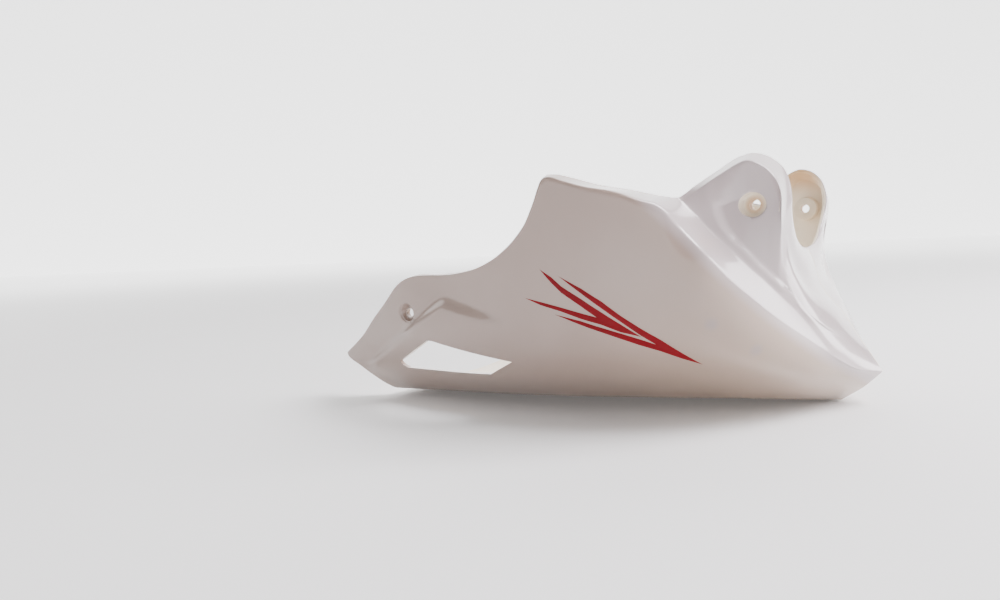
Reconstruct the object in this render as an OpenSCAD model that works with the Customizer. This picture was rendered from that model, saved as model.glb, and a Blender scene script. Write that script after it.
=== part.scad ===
// Belly pan for a small motorbike: two moulded half shells joined on the centre plane.
// Frame: +X forward, +Y to the left side of the bike, +Z up. The centre plane is y = 0 and
// the flat keel stands on z = 0. All sizes in millimetres. The rows and distances below are
// measured from the rearmost tip; each node is moved back so that x = 0 is mid length.

/* [Overall size] */
// Length from the rear tip to the nose
pan_length = 378; // [300:1:480]
// Width over the two peaks of the side panels
pan_width = 332; // [260:1:400]
// Height from the keel to the top of the ears
pan_height = 169; // [120:1:220]
// Wall thickness of the moulding
wall = 2.8; // [1.5:0.1:5]

/* [Front bolts] */
// Distance of the front bolt axis from the rear tip
front_bolt_x = 316; // [290:0.5:340]
// Height of the front bolt axis
front_bolt_z = 137; // [110:0.5:160]
// Bolt hole for an M6 bolt
bolt_hole_d = 6.6; // [5:0.1:9]
// Mouth of the round recess for the bolt head
recess_mouth_d = 15.6; // [12:0.1:24]
// Floor of the recess
recess_floor_d = 13.6; // [10:0.1:20]
// Outside of the boss behind the recess
boss_d = 17.6; // [14:0.1:26]
// Distance of the recess floor from the centre plane
recess_floor_y = 91.5; // [84:0.5:94]
// Distance of the inner face of the boss from the centre plane
boss_face_y = 82; // [70:0.5:86]

/* [Rear bolts] */
// Distance of the rear bolt axis from the rear tip
rear_bolt_x = 84; // [60:0.5:110]
// Height of the rear bolt axis
rear_bolt_z = 72; // [50:0.5:90]
// Outer edge of the conical seat
rear_seat_d = 14; // [10:0.1:20]
// Floor of the conical seat
rear_seat_floor_d = 8.4; // [7:0.1:12]
// Depth of the conical seat
rear_seat_depth = 4.2; // [1:0.1:8]
// Outside of the pad behind the seat
rear_pad_d = 19; // [14:0.1:28]
// Distance of the inner face of the pad from the centre plane
rear_pad_face_y = 138; // [130:0.5:141]

/* [Step around the vent] */
// Height of the step that frames the vent
step_height = 3; // [0:0.1:5]
// Width of the sloping face of the step
step_width = 6; // [3:0.5:12]

/* [Ear] */
// Depth of the sunk field of the ear
field_depth = 3; // [0:0.1:6]

/* [Joint of the halves] */
// Thread diameter of the joining screws
screw_d = 5; // [4:1:6]
// Gap between screw and hole, on the diameter
screw_clearance = 0.4; // [0.1:0.1:1]
// Gap between screw and nut, on the diameter
thread_gap = 0.1; // [0:0.05:0.3]
// Length of the screw under the head
screw_length = 12; // [10:1:20]
// Diameter of the round screw head
screw_head_d = 9.5; // [8:0.1:12]
// Height of the round screw head
screw_head_h = 2.8; // [2:0.1:5]
// Width over flats of the nut
nut_width = 8; // [7:0.1:10]
// Height of the nut
nut_height = 4; // [3:0.1:6]
// Thickness of one joining tab
tab_thickness = 3; // [2:0.1:5]

/* [Hidden] */
base_length = 378;
base_width = 332;
base_height = 169;
base_middle_x = 190.33;
kx = pan_length / base_length;
ky = pan_width / base_width;
kz = pan_height / base_height;
eps = 0.01;
module to_middle() {
  translate([-base_middle_x * kx, 0, 0]) children();
}

// Each row is a line along one half shell, from the rear edge to the centre plane in front.
// A point of a row is [station, x, distance from the centre plane, z].
keel_row = [[0, 45, 0, 0], [30, 135, 0, 0], [60, 232, 0, 0], [80, 291, 0, 0], [92, 324, 0, 0],
  [100, 344, 0, 0.2]];
strip_row = [[0, 44, 26, 0], [30, 135, 25, 0], [60, 233, 23, 0.2], [80, 293, 16, 0.4],
  [92, 326, 8, 0.5], [100, 348, 0, 0.5]];
edge_row = [[0, 39, 112, 5.5], [6, 50, 108, 5], [12, 66, 105.5, 5.2], [20, 94, 104, 6],
  [30, 135, 102, 7.3], [40, 170, 99, 8.5], [50, 200, 93.5, 9.2], [60, 234, 83, 9.5],
  [70, 266, 71, 9.5], [80, 296, 57, 9], [89, 323, 38, 6.8], [95, 339, 20, 4], [100, 353, 0, 1]];
low_row = [[0, 30, 120, 12.5], [6, 46, 119, 13.5], [12, 66, 120, 14.5], [20, 96, 121.5, 16],
  [30, 139, 121.5, 18], [40, 176, 118, 20], [50, 208, 111, 21], [60, 243, 101, 22],
  [70, 276, 87, 21.5], [80, 306, 70, 19], [89, 332, 47, 13.5], [95, 346, 26, 8], [100, 357, 0, 4]];
vent_row = [[0, 17, 130.7, 27.5], [4, 32, 130.5, 28.5], [8, 46, 130, 29], [12, 64, 129.5, 29.5],
  [18, 90, 132, 30], [24, 119, 136, 30.5], [30, 149, 138, 31], [40, 186, 136, 33.5],
  [50, 213, 131, 36], [60, 247, 122, 37.5], [70, 281, 107, 36.5], [80, 311, 88, 32],
  [89, 337, 60, 24], [95, 351, 32, 15], [100, 362, 0, 7.5]];
mid_row = [[0, 8, 130, 30.5], [4, 27, 132.5, 39], [8, 44, 135.5, 47], [14, 72, 142, 56],
  [18, 93, 146, 57], [24, 122, 149.5, 56], [30, 152, 150.5, 57], [37, 178, 152, 60],
  [44, 200, 152.5, 64], [50, 214, 152, 68], [57, 238, 149, 67], [65, 271, 137, 64],
  [73, 295, 124, 54], [81, 318, 103, 43], [89, 340, 71, 33], [95, 355, 37, 24], [100, 368, 0, 12]];
upper_row = [[0, 4, 129.5, 33.5], [4, 24, 133, 45], [8, 42, 137.5, 58], [14, 70, 145, 78],
  [18, 92, 148.5, 84], [24, 122, 150.5, 84], [30, 152, 153, 85], [37, 178, 157, 92],
  [44, 200, 160, 104], [50, 214, 161.5, 116], [57, 238, 159, 112], [65, 274, 146, 100],
  [73, 297, 133, 81], [81, 319, 110, 62], [89, 341, 74, 45], [95, 357, 38, 33], [100, 373, 0, 17.5]];
rim_row = [[0, 3, 129, 36], [4, 26, 134, 51], [8, 44, 139, 66], [11, 60, 143, 78.5],
  [14, 75, 147, 91], [16, 84, 149, 96], [18, 94, 150, 99], [21, 109, 151, 100],
  [24, 123, 152, 100], [27, 136, 154, 101], [30, 153, 156, 104], [34, 169, 158, 110],
  [37, 178, 159.5, 115], [39, 186, 161, 120.5], [42, 195, 162.5, 129], [44, 199, 163.5, 134],
  [46, 205, 165, 144], [48, 209, 166, 152], [49.5, 212, 166, 157], [51, 217, 166, 158],
  [53, 224, 166, 155.5], [57, 238, 163, 151], [60, 253, 158, 147.5], [63, 266.5, 152, 142],
  [65, 276, 146, 138], [69, 285.5, 139, 125], [73, 298, 132, 109.5], [77, 309, 121, 94],
  [81, 320, 107, 80.5], [85, 331, 90, 67], [89, 342, 70, 54], [93, 353, 50, 41],
  [96.5, 363, 30, 30], [98.5, 370, 15, 25.5], [100, 378, 0, 22.8]];
shoulder_row = [[0, 4.5, 125, 37], [4, 27, 130, 52], [8, 45, 135, 67], [14, 76, 143, 92],
  [18, 94, 146, 100], [24, 123, 148, 101], [30, 153, 152, 105], [37, 177, 155.5, 116],
  [42, 194, 158.5, 130], [46, 204, 161, 145], [49.5, 211, 161, 159], [51, 217, 158, 160],
  [53, 224, 153, 158], [57, 238, 142, 152.5], [60, 253, 133, 149], [63, 266, 126, 145.3],
  [65, 276, 121.5, 143], [67.5, 285.5, 118.5, 135], [72, 294, 114, 124], [75, 302.5, 108.5, 114],
  [79, 310.5, 102, 105], [83, 318, 95, 96], [87.3, 325.3, 86, 86.5], [91, 333, 76.5, 79],
  [94, 341, 67, 68.5], [95.7, 346, 58, 61.5], [98, 357, 33, 49], [100, 370, 0, 35.5]];
fold_row = [[0, 5, 122, 37], [4, 27, 127, 52], [8, 45, 132, 67], [14, 76, 140, 92], [18, 94, 143, 100],
  [24, 123, 145, 101], [30, 153, 149, 105], [37, 177, 152.5, 116], [42, 194, 155.5, 130],
  [46, 204, 158, 145], [49.5, 211, 158, 159], [51, 217, 155, 160], [53, 224, 150, 158],
  [57, 238, 140, 152.8], [60, 253, 131, 149.3], [63, 266, 124, 145.5], [65, 276.5, 119.5, 143],
  [67, 281, 117.5, 141.5], [69, 288.5, 112, 147.5], [71, 293, 109.5, 151], [73, 297, 107, 154],
  [75, 302, 104.5, 157.3], [77, 307, 102, 160.5], [79, 311.5, 100.7, 162.6], [81, 316, 99.7, 162.3],
  [82.7, 322, 98.5, 159.3], [84.5, 327, 97.8, 154.5], [85.8, 330.5, 97.2, 148.5], [87, 332, 96, 141],
  [88.2, 331.5, 94, 131], [89.8, 329.8, 86, 116.9], [91.5, 329.8, 79, 101], [93.3, 334, 73, 84],
  [95.2, 341, 65.5, 70.5], [97, 349, 52, 60], [98.6, 357, 27, 53.5], [100, 362.5, 0, 47]];
top_row = [[0, 5.5, 120, 37], [4, 27.5, 125, 52], [8, 45.5, 130, 67], [14, 76.5, 138, 92],
  [18, 94, 141, 100], [24, 123, 143, 101], [30, 153, 147, 105], [37, 177, 150.5, 116],
  [42, 194, 153.5, 130], [46, 204, 156, 145], [49.5, 211.5, 155.5, 159], [51, 217, 152, 159.7],
  [53, 224, 147, 157.7], [57, 238, 138, 152.8], [60, 253, 129, 149.3], [63, 266, 122, 145.7],
  [65, 276.5, 118, 143.3], [67, 280.5, 114, 145.5], [69, 283.5, 109, 149], [71, 289, 100, 154.5],
  [73, 294.5, 92, 159.5], [75, 298.5, 88, 163], [77, 303.5, 84.5, 166.5], [79, 309.5, 82, 168.7],
  [81, 314, 81, 169], [83, 320.5, 79, 167], [85, 326, 76, 163], [87, 330, 74, 158],
  [88.5, 332.5, 73.3, 151], [90, 333.7, 72.5, 143.3], [92, 333, 68.7, 134.3], [94, 332.3, 61, 126.2],
  [95.5, 331.8, 52.5, 120], [97, 331.6, 42, 114.5], [98.5, 331.5, 25.8, 110.2],
  [100, 330.4, 0, 108.3]];

// Stations at which the rows are cut into columns, closer together at the peak and the ear
stations = concat([for (s = [0 : 3 : 42]) s], [for (s = [44 : 2 : 52]) s], [for (s = [55 : 3 : 61]) s],
  [for (s = [64 : 2 : 88]) s], [for (s = [90 : 1.25 : 100]) s]);
column_count = len(stations);

// Place in a row of points at which a station lies
function segment(row, s, i = 0) =
  (i >= len(row) - 2 || row[i + 1][0] >= s) ? i : segment(row, s, i + 1);
function place(p) = [p[1] * kx, p[2] * ky, p[3] * kz];
function slope(row, i) =
  let (a = max(i - 1, 0), b = min(i + 1, len(row) - 1))
  (place(row[b]) - place(row[a])) / (row[b][0] - row[a][0]);
// Smooth curve through the points of a row
function along(row, s) =
  let (
    i = segment(row, s),
    h = row[i + 1][0] - row[i][0],
    t = (s - row[i][0]) / h,
    p = place(row[i]),
    q = place(row[i + 1]),
    m = slope(row, i) * h,
    n = slope(row, i + 1) * h
  )
  (2 * t * t * t - 3 * t * t + 1) * p + (t * t * t - 2 * t * t + t) * m
    + (3 * t * t - 2 * t * t * t) * q + (t * t * t - t * t) * n;
function mix(a, b, t) = a * (1 - t) + b * t;
function ramp(a, b, v) = let (t = min(max((v - a) / (b - a), 0), 1)) t * t * (3 - 2 * t);

// Control points of one column, from the keel up to the free edge
function column(s) =
  let (
    keel = along(keel_row, s),
    strip = along(strip_row, s),
    edge = along(edge_row, s),
    low = along(low_row, s),
    vent = along(vent_row, s),
    mid = along(mid_row, s),
    upper = along(upper_row, s),
    rim = along(rim_row, s),
    shoulder = along(shoulder_row, s),
    fold = along(fold_row, s),
    top = along(top_row, s),
    bow = [7 * kx * ramp(90, 98, s), 0, 0],
    sunk = [0, field_depth * ramp(67, 73, s) * (1 - ramp(84, 93, s)), 0]
  )
  [
    keel, strip, mix(strip, edge, 0.92), edge, mix(edge, low, 0.35), low, vent, mid, upper,
    mix(upper, rim, 0.86), rim, mix(rim, shoulder, 0.22), mix(rim, shoulder, 0.82), shoulder,
    mix(shoulder, fold, 0.2), mix(shoulder, fold, 0.3) - sunk, mix(shoulder, fold, 0.6) - sunk,
    mix(shoulder, fold, 0.92) - sunk * 0.6, fold, mix(fold, top, 0.12), mix(fold, top, 0.5) - bow,
    mix(fold, top, 0.85), top
  ];
columns = [for (s = stations) column(s)];
control_count = len(columns[0]);
// Rows drawn between each control point and the next
rows_in_span = [2, 1, 1, 1, 2, 3, 4, 5, 3, 1, 1, 2, 1, 1, 1, 2, 2, 1, 1, 2, 1, 1];
row_places = concat([for (i = [0 : control_count - 2]) for (k = [0 : rows_in_span[i] - 1]) i + k / rows_in_span[i]],
  [control_count - 1]);
row_count = len(row_places);

// Smooth blend across the control points of a column
function control(c, i) =
  i < 0 ? 2 * c[0] - c[1] : i >= control_count ? 2 * c[control_count - 1] - c[control_count - 2] : c[i];
function across(c, place) =
  let (
    i = min(floor(place), control_count - 2),
    t = place - i,
    a = (1 - t) * (1 - t) * (1 - t) / 6,
    b = (3 * t * t * t - 6 * t * t + 4) / 6,
    d = (-3 * t * t * t + 3 * t * t + 3 * t + 1) / 6,
    e = t * t * t / 6
  )
  a * control(c, i - 1) + b * control(c, i) + d * control(c, i + 1) + e * control(c, i + 2);

// The step that frames the vent lifts the panel below an upturned V line
step_apex = [121 * kx, 85 * kz];
step_rear = [19 * kx, 27 * kz];
step_front = [200 * kx, 64 * kz];
function below(p, a, b) = ((b[0] - a[0]) * (a[1] - p[2]) - (b[1] - a[1]) * (a[0] - p[0])) / norm(b - a);
function lift(p) =
  step_height * ramp(0, step_width, below(p, step_rear, step_apex)) * ramp(0, step_width, below(p, step_apex, step_front))
    * (1 - ramp(130 * kx, 195 * kx, p[0])) * ramp(14 * kz, 34 * kz, p[2]) * ramp(14 * kx, 40 * kx, p[0]);

plain = [for (c = columns) [for (p = row_places) across(c, p)]];
function unit(v) = v / max(norm(v), 0.000001);
function raw_normal(g, i, j) =
  let (
    du = g[min(i + 1, column_count - 1)][j] - g[max(i - 1, 0)][j],
    dv = g[i][min(j + 1, row_count - 1)] - g[i][max(j - 1, 0)]
  )
  unit(cross(dv, du));
outer = [for (i = [0 : column_count - 1]) [for (j = [0 : row_count - 1])
  let (p = plain[i][j]) [p[0], p[1] + lift(p), max(p[2], 0)]]];
// Directions square to the outer skin, blended over a few millimetres so that the wall
// turns round the edges without folding over itself
square_to = [for (i = [0 : column_count - 1]) [for (j = [0 : row_count - 1])
  (j == 0 && i == column_count - 1) ? raw_normal(outer, i, 2) : raw_normal(outer, i, j)]];
blend_reach = 12;
function total(list, i = 0) = i == len(list) - 1 ? list[i] : list[i] + total(list, i + 1);
function wall_direction(i, j) = unit(total([
  for (k = [max(i - 2, 0) : min(i + 2, column_count - 1)])
    for (l = [max(j - 8, 0) : min(j + 8, row_count - 1)])
      max(1 - norm(outer[k][l] - outer[i][j]) / blend_reach, 0) * square_to[k][l]
]));
// The seam keeps both skins on the centre plane
function on_seam(i, j) = j == 0 || i == column_count - 1;
function seat(p, i, j) = [p[0], on_seam(i, j) ? 0 : max(p[1], 0.2), p[2]];
inner = [for (i = [0 : column_count - 1]) [for (j = [0 : row_count - 1])
  seat(outer[i][j] - wall * wall_direction(i, j), i, j)]];

// One closed skin for a half on the positive side of the centre plane
module shell_skin() {
  last_i = column_count - 1;
  last_j = row_count - 1;
  n = column_count * row_count;
  points = concat(
    [for (i = [0 : last_i]) for (j = [0 : last_j]) outer[i][j]],
    [for (i = [0 : last_i]) for (j = [0 : last_j]) inner[i][j]]
  );
  function at(i, j) = i * row_count + j;
  faces = concat(
    [for (i = [0 : last_i - 1]) for (j = [0 : last_j - 1]) [at(i, j), at(i + 1, j + 1), at(i, j + 1)]],
    [for (i = [0 : last_i - 1]) for (j = [0 : last_j - 1]) [at(i, j), at(i + 1, j), at(i + 1, j + 1)]],
    [for (i = [0 : last_i - 1]) for (j = [0 : last_j - 1]) [n + at(i, j), n + at(i, j + 1), n + at(i + 1, j + 1)]],
    [for (i = [0 : last_i - 1]) for (j = [0 : last_j - 1]) [n + at(i, j), n + at(i + 1, j + 1), n + at(i + 1, j)]],
    [for (i = [0 : last_i - 1]) [at(i, 0), n + at(i + 1, 0), at(i + 1, 0)]],
    [for (i = [0 : last_i - 1]) [at(i, 0), n + at(i, 0), n + at(i + 1, 0)]],
    [for (i = [0 : last_i - 1]) [at(i, last_j), at(i + 1, last_j), n + at(i + 1, last_j)]],
    [for (i = [0 : last_i - 1]) [at(i, last_j), n + at(i + 1, last_j), n + at(i, last_j)]],
    [for (j = [0 : last_j - 1]) [at(0, j), at(0, j + 1), n + at(0, j + 1)]],
    [for (j = [0 : last_j - 1]) [at(0, j), n + at(0, j + 1), n + at(0, j)]],
    [for (j = [0 : last_j - 1]) [at(last_i, j), n + at(last_i, j + 1), at(last_i, j + 1)]],
    [for (j = [0 : last_j - 1]) [at(last_i, j), n + at(last_i, j), n + at(last_i, j + 1)]]
  );
  polyhedron(points = points, faces = faces, convexity = 12);
}

// A round body along +Y from one distance to another
module round_y(x, z, from_y, to_y, from_d, to_d) {
  translate([x, from_y, z])
    rotate([-90, 0, 0])
      cylinder(h = to_y - from_y, d1 = from_d, d2 = to_d, $fn = 48);
}

// A conical sink along +Y, carried on past its mouth so that it cuts clear of the skin
module cone_y(x, z, floor_y, mouth_y, floor_d, mouth_d) {
  clear = 3;
  round_y(x, z, floor_y, floor_y + clear * (mouth_y - floor_y), floor_d, floor_d + clear * (mouth_d - floor_d));
}

vent_outline = [[64.5, 33.5], [103, 53], [108, 53], [171, 41], [150, 30.2], [70, 28.3], [66, 30.5]];
// The tabs follow the wall inside the seam; the last value of each is its screw axis
front_tab_a = [[335, 87], [339.4, 78.5], [344, 70.8], [331, 63], [322.5, 79]];
front_tab_b = [[359, 49.5], [366, 38.2], [354, 30.5], [346.5, 42]];
keel_tab_a = [[90, 1.4], [106, 1.4], [106, 17], [90, 17]];
keel_tab_b = [[230, 1.4], [246, 1.4], [246, 17], [230, 17]];
screw_axes = [[331.5, 75], [356, 40], [98, 10], [238, 10]];
function flat(outline) = [for (p = outline) [p[0] * kx, p[1] * kz]];

module plate(outline, from_y, to_y) {
  translate([0, to_y, 0])
    rotate([90, 0, 0])
      linear_extrude(height = to_y - from_y)
        polygon(flat(outline));
}

// Distance of the outer skin from the centre plane at each bolt, and how the skin is turned there
front_skin_y = 96.7;
front_skin_turn = [-3.7, 0, -20.8];
rear_skin_y = 146;
rear_skin_turn = [-7.5, 0, 8.5];

// What lies more than half a wall under the skin at a bolt
module under_skin(x, y, z, turn) {
  translate([x, y, z])
    rotate(turn)
      translate([-30, -60 - wall / 2, -30])
        cube([60, 60, 60]);
}

module front_boss() {
  x = front_bolt_x * kx;
  z = front_bolt_z * kz;
  intersection() {
    round_y(x, z, boss_face_y * ky, 102 * ky, boss_d, recess_mouth_d + 2 * wall + 2);
    under_skin(x, front_skin_y * ky, z, front_skin_turn);
  }
}

module rear_pad() {
  x = rear_bolt_x * kx;
  z = rear_bolt_z * kz;
  intersection() {
    round_y(x, z, rear_pad_face_y * ky, 148 * ky, rear_pad_d - 3, rear_pad_d);
    under_skin(x, rear_skin_y * ky, z, rear_skin_turn);
  }
}

module half() {
  difference() {
    union() {
      shell_skin();
      front_boss();
      rear_pad();
      plate(front_tab_a, 0, tab_thickness);
      plate(front_tab_b, 0, tab_thickness);
      plate(keel_tab_a, 0, tab_thickness);
      plate(keel_tab_b, 0, tab_thickness);
    }
    plate(vent_outline, 100 * ky, 175 * ky);
    cone_y(front_bolt_x * kx, front_bolt_z * kz, recess_floor_y * ky, front_skin_y * ky, recess_floor_d, recess_mouth_d);
    round_y(front_bolt_x * kx, front_bolt_z * kz, boss_face_y * ky - 5, recess_floor_y * ky + 1, bolt_hole_d, bolt_hole_d);
    cone_y(rear_bolt_x * kx, rear_bolt_z * kz, rear_skin_y * ky - rear_seat_depth, rear_skin_y * ky, rear_seat_floor_d,
      rear_seat_d);
    round_y(rear_bolt_x * kx, rear_bolt_z * kz, rear_pad_face_y * ky - 5, rear_skin_y * ky - 1, bolt_hole_d, bolt_hole_d);
    for (a = screw_axes)
      round_y(a[0] * kx, a[1] * kz, -5, tab_thickness + 5, screw_d + screw_clearance, screw_d + screw_clearance);
  }
}

module left_half() {
  color([0.93, 0.92, 0.91]) to_middle() half();
}

module right_half() {
  color([0.93, 0.92, 0.91]) to_middle() mirror([0, 1, 0]) half();
}

// The screws enter from the right; their heads rest on the tabs
module join_screws() {
  color([0.55, 0.56, 0.58]) to_middle()
    for (a = screw_axes)
      union() {
        round_y(a[0] * kx, a[1] * kz, -tab_thickness - screw_head_h, -tab_thickness, screw_head_d * 0.7, screw_head_d);
        round_y(a[0] * kx, a[1] * kz, -tab_thickness - eps, screw_length - tab_thickness, screw_d, screw_d);
      }
}

module join_nuts() {
  color([0.6, 0.61, 0.63]) to_middle()
    for (a = screw_axes)
      difference() {
        translate([a[0] * kx, tab_thickness, a[1] * kz])
          rotate([-90, 0, 0])
            cylinder(h = nut_height, d = nut_width / cos(30), $fn = 6);
        round_y(a[0] * kx, a[1] * kz, tab_thickness - 1, tab_thickness + nut_height + 1, screw_d + thread_gap,
          screw_d + thread_gap);
      }
}

left_half();
right_half();
join_screws();
join_nuts();
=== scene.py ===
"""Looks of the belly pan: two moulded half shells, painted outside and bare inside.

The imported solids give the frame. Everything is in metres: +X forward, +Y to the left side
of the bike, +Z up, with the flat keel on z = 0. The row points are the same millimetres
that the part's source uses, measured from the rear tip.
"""

import logging
import math
from collections.abc import Sequence
from dataclasses import dataclass, field
from enum import Enum

import bpy
import numpy as np
from mathutils import Matrix, Vector
from mathutils.bvhtree import BVHTree
from mathutils.geometry import delaunay_2d_cdt


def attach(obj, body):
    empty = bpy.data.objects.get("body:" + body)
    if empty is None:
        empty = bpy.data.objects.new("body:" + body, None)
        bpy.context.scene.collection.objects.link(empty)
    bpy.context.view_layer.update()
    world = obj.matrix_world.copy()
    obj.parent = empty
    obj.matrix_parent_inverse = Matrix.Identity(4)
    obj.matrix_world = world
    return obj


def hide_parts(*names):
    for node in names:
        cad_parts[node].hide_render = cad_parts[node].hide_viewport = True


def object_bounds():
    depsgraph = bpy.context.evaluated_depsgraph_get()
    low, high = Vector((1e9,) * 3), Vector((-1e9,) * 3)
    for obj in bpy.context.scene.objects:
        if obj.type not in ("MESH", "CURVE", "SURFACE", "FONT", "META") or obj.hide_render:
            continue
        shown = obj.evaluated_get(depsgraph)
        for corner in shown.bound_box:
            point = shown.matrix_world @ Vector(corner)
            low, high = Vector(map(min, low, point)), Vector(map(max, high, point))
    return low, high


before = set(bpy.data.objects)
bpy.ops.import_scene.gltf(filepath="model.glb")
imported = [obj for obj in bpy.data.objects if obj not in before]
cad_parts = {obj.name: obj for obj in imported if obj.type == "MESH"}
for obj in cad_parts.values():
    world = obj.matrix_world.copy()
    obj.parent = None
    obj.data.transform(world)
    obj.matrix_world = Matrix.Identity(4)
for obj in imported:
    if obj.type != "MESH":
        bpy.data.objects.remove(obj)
CAD_BOX = [list(corner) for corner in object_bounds()]

Span = tuple[float, float]
Flat = tuple[float, float]
Spot = tuple[float, float, float]
Colour = tuple[float, float, float]
Outline = Sequence[Flat]
Profile = Sequence[Flat]
Row = list[tuple[float, float, float, float]]

LOG = logging.getLogger("belly_pan")
MM = 0.001
TINY = 1e-9
OUT = Vector((0, 1, 0))
SMOOTH_ANGLE = 32.0
NOISE_DETAIL = 2.0

# Scale of the noise and limits of the roughness of both paints
PAINT_ROUGH = (60, (0.3, 0.36))

# The choice of delaunay_2d_cdt that keeps only the triangles inside the outline
ONLY_INSIDE = 1

# Stations of a row run from 0 to LAST_STATION, and places on a column from 0 to LAST_PLACE
LAST_STATION = 100.0
LAST_PLACE = 22.0

# Each point of a row is (station, x, distance from the centre plane, z)
KEEL = [
    (0, 45, 0, 0), (30, 135, 0, 0), (60, 232, 0, 0), (80, 291, 0, 0), (92, 324, 0, 0),
    (100, 344, 0, 0.2),
]
STRIP = [
    (0, 44, 26, 0), (30, 135, 25, 0), (60, 233, 23, 0.2), (80, 293, 16, 0.4), (92, 326, 8, 0.5),
    (100, 348, 0, 0.5),
]
EDGE = [
    (0, 39, 112, 5.5), (6, 50, 108, 5), (12, 66, 105.5, 5.2), (20, 94, 104, 6), (30, 135, 102, 7.3),
    (40, 170, 99, 8.5), (50, 200, 93.5, 9.2), (60, 234, 83, 9.5), (70, 266, 71, 9.5),
    (80, 296, 57, 9), (89, 323, 38, 6.8), (95, 339, 20, 4), (100, 353, 0, 1),
]
LOW = [
    (0, 30, 120, 12.5), (6, 46, 119, 13.5), (12, 66, 120, 14.5), (20, 96, 121.5, 16),
    (30, 139, 121.5, 18), (40, 176, 118, 20), (50, 208, 111, 21), (60, 243, 101, 22),
    (70, 276, 87, 21.5), (80, 306, 70, 19), (89, 332, 47, 13.5), (95, 346, 26, 8), (100, 357, 0, 4),
]
VENT = [
    (0, 17, 130.7, 27.5), (4, 32, 130.5, 28.5), (8, 46, 130, 29), (12, 64, 129.5, 29.5),
    (18, 90, 132, 30), (24, 119, 136, 30.5), (30, 149, 138, 31), (40, 186, 136, 33.5),
    (50, 213, 131, 36), (60, 247, 122, 37.5), (70, 281, 107, 36.5), (80, 311, 88, 32),
    (89, 337, 60, 24), (95, 351, 32, 15), (100, 362, 0, 7.5),
]
MID = [
    (0, 8, 130, 30.5), (4, 27, 132.5, 39), (8, 44, 135.5, 47), (14, 72, 142, 56), (18, 93, 146, 57),
    (24, 122, 149.5, 56), (30, 152, 150.5, 57), (37, 178, 152, 60), (44, 200, 152.5, 64),
    (50, 214, 152, 68), (57, 238, 149, 67), (65, 271, 137, 64), (73, 295, 124, 54),
    (81, 318, 103, 43), (89, 340, 71, 33), (95, 355, 37, 24), (100, 368, 0, 12),
]
UPPER = [
    (0, 4, 129.5, 33.5), (4, 24, 133, 45), (8, 42, 137.5, 58), (14, 70, 145, 78),
    (18, 92, 148.5, 84), (24, 122, 150.5, 84), (30, 152, 153, 85), (37, 178, 157, 92),
    (44, 200, 160, 104), (50, 214, 161.5, 116), (57, 238, 159, 112), (65, 274, 146, 100),
    (73, 297, 133, 81), (81, 319, 110, 62), (89, 341, 74, 45), (95, 357, 38, 33),
    (100, 373, 0, 17.5),
]
RIM = [
    (0, 3, 129, 36), (4, 26, 134, 51), (8, 44, 139, 66), (11, 60, 143, 78.5), (14, 75, 147, 91),
    (16, 84, 149, 96), (18, 94, 150, 99), (21, 109, 151, 100), (24, 123, 152, 100),
    (27, 136, 154, 101), (30, 153, 156, 104), (34, 169, 158, 110), (37, 178, 159.5, 115),
    (39, 186, 161, 120.5), (42, 195, 162.5, 129), (44, 199, 163.5, 134), (46, 205, 165, 144),
    (48, 209, 166, 152), (49.5, 212, 166, 157), (51, 217, 166, 158), (53, 224, 166, 155.5),
    (57, 238, 163, 151), (60, 253, 158, 147.5), (63, 266.5, 152, 142), (65, 276, 146, 138),
    (69, 285.5, 139, 125), (73, 298, 132, 109.5), (77, 309, 121, 94), (81, 320, 107, 80.5),
    (85, 331, 90, 67), (89, 342, 70, 54), (93, 353, 50, 41), (96.5, 363, 30, 30),
    (98.5, 370, 15, 25.5), (100, 378, 0, 22.8),
]
SHOULDER = [
    (0, 4.5, 125, 37), (4, 27, 130, 52), (8, 45, 135, 67), (14, 76, 143, 92), (18, 94, 146, 100),
    (24, 123, 148, 101), (30, 153, 152, 105), (37, 177, 155.5, 116), (42, 194, 158.5, 130),
    (46, 204, 161, 145), (49.5, 211, 161, 159), (51, 217, 158, 160), (53, 224, 153, 158),
    (57, 238, 142, 152.5), (60, 253, 133, 149), (63, 266, 126, 145.3), (65, 276, 121.5, 143),
    (67.5, 285.5, 118.5, 135), (72, 294, 114, 124), (75, 302.5, 108.5, 114), (79, 310.5, 102, 105),
    (83, 318, 95, 96), (87.3, 325.3, 86, 86.5), (91, 333, 76.5, 79), (94, 341, 67, 68.5),
    (95.7, 346, 58, 61.5), (98, 357, 33, 49), (100, 370, 0, 35.5),
]
FOLD = [
    (0, 5, 122, 37), (4, 27, 127, 52), (8, 45, 132, 67), (14, 76, 140, 92), (18, 94, 143, 100),
    (24, 123, 145, 101), (30, 153, 149, 105), (37, 177, 152.5, 116), (42, 194, 155.5, 130),
    (46, 204, 158, 145), (49.5, 211, 158, 159), (51, 217, 155, 160), (53, 224, 150, 158),
    (57, 238, 140, 152.8), (60, 253, 131, 149.3), (63, 266, 124, 145.5), (65, 276.5, 119.5, 143),
    (67, 281, 117.5, 141.5), (69, 288.5, 112, 147.5), (71, 293, 109.5, 151), (73, 297, 107, 154),
    (75, 302, 104.5, 157.3), (77, 307, 102, 160.5), (79, 311.5, 100.7, 162.6),
    (81, 316, 99.7, 162.3), (82.7, 322, 98.5, 159.3), (84.5, 327, 97.8, 154.5),
    (85.8, 330.5, 97.2, 148.5), (87, 332, 96, 141), (88.2, 331.5, 94, 131),
    (89.8, 329.8, 86, 116.9), (91.5, 329.8, 79, 101), (93.3, 334, 73, 84), (95.2, 341, 65.5, 70.5),
    (97, 349, 52, 60), (98.6, 357, 27, 53.5), (100, 362.5, 0, 47),
]
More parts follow.
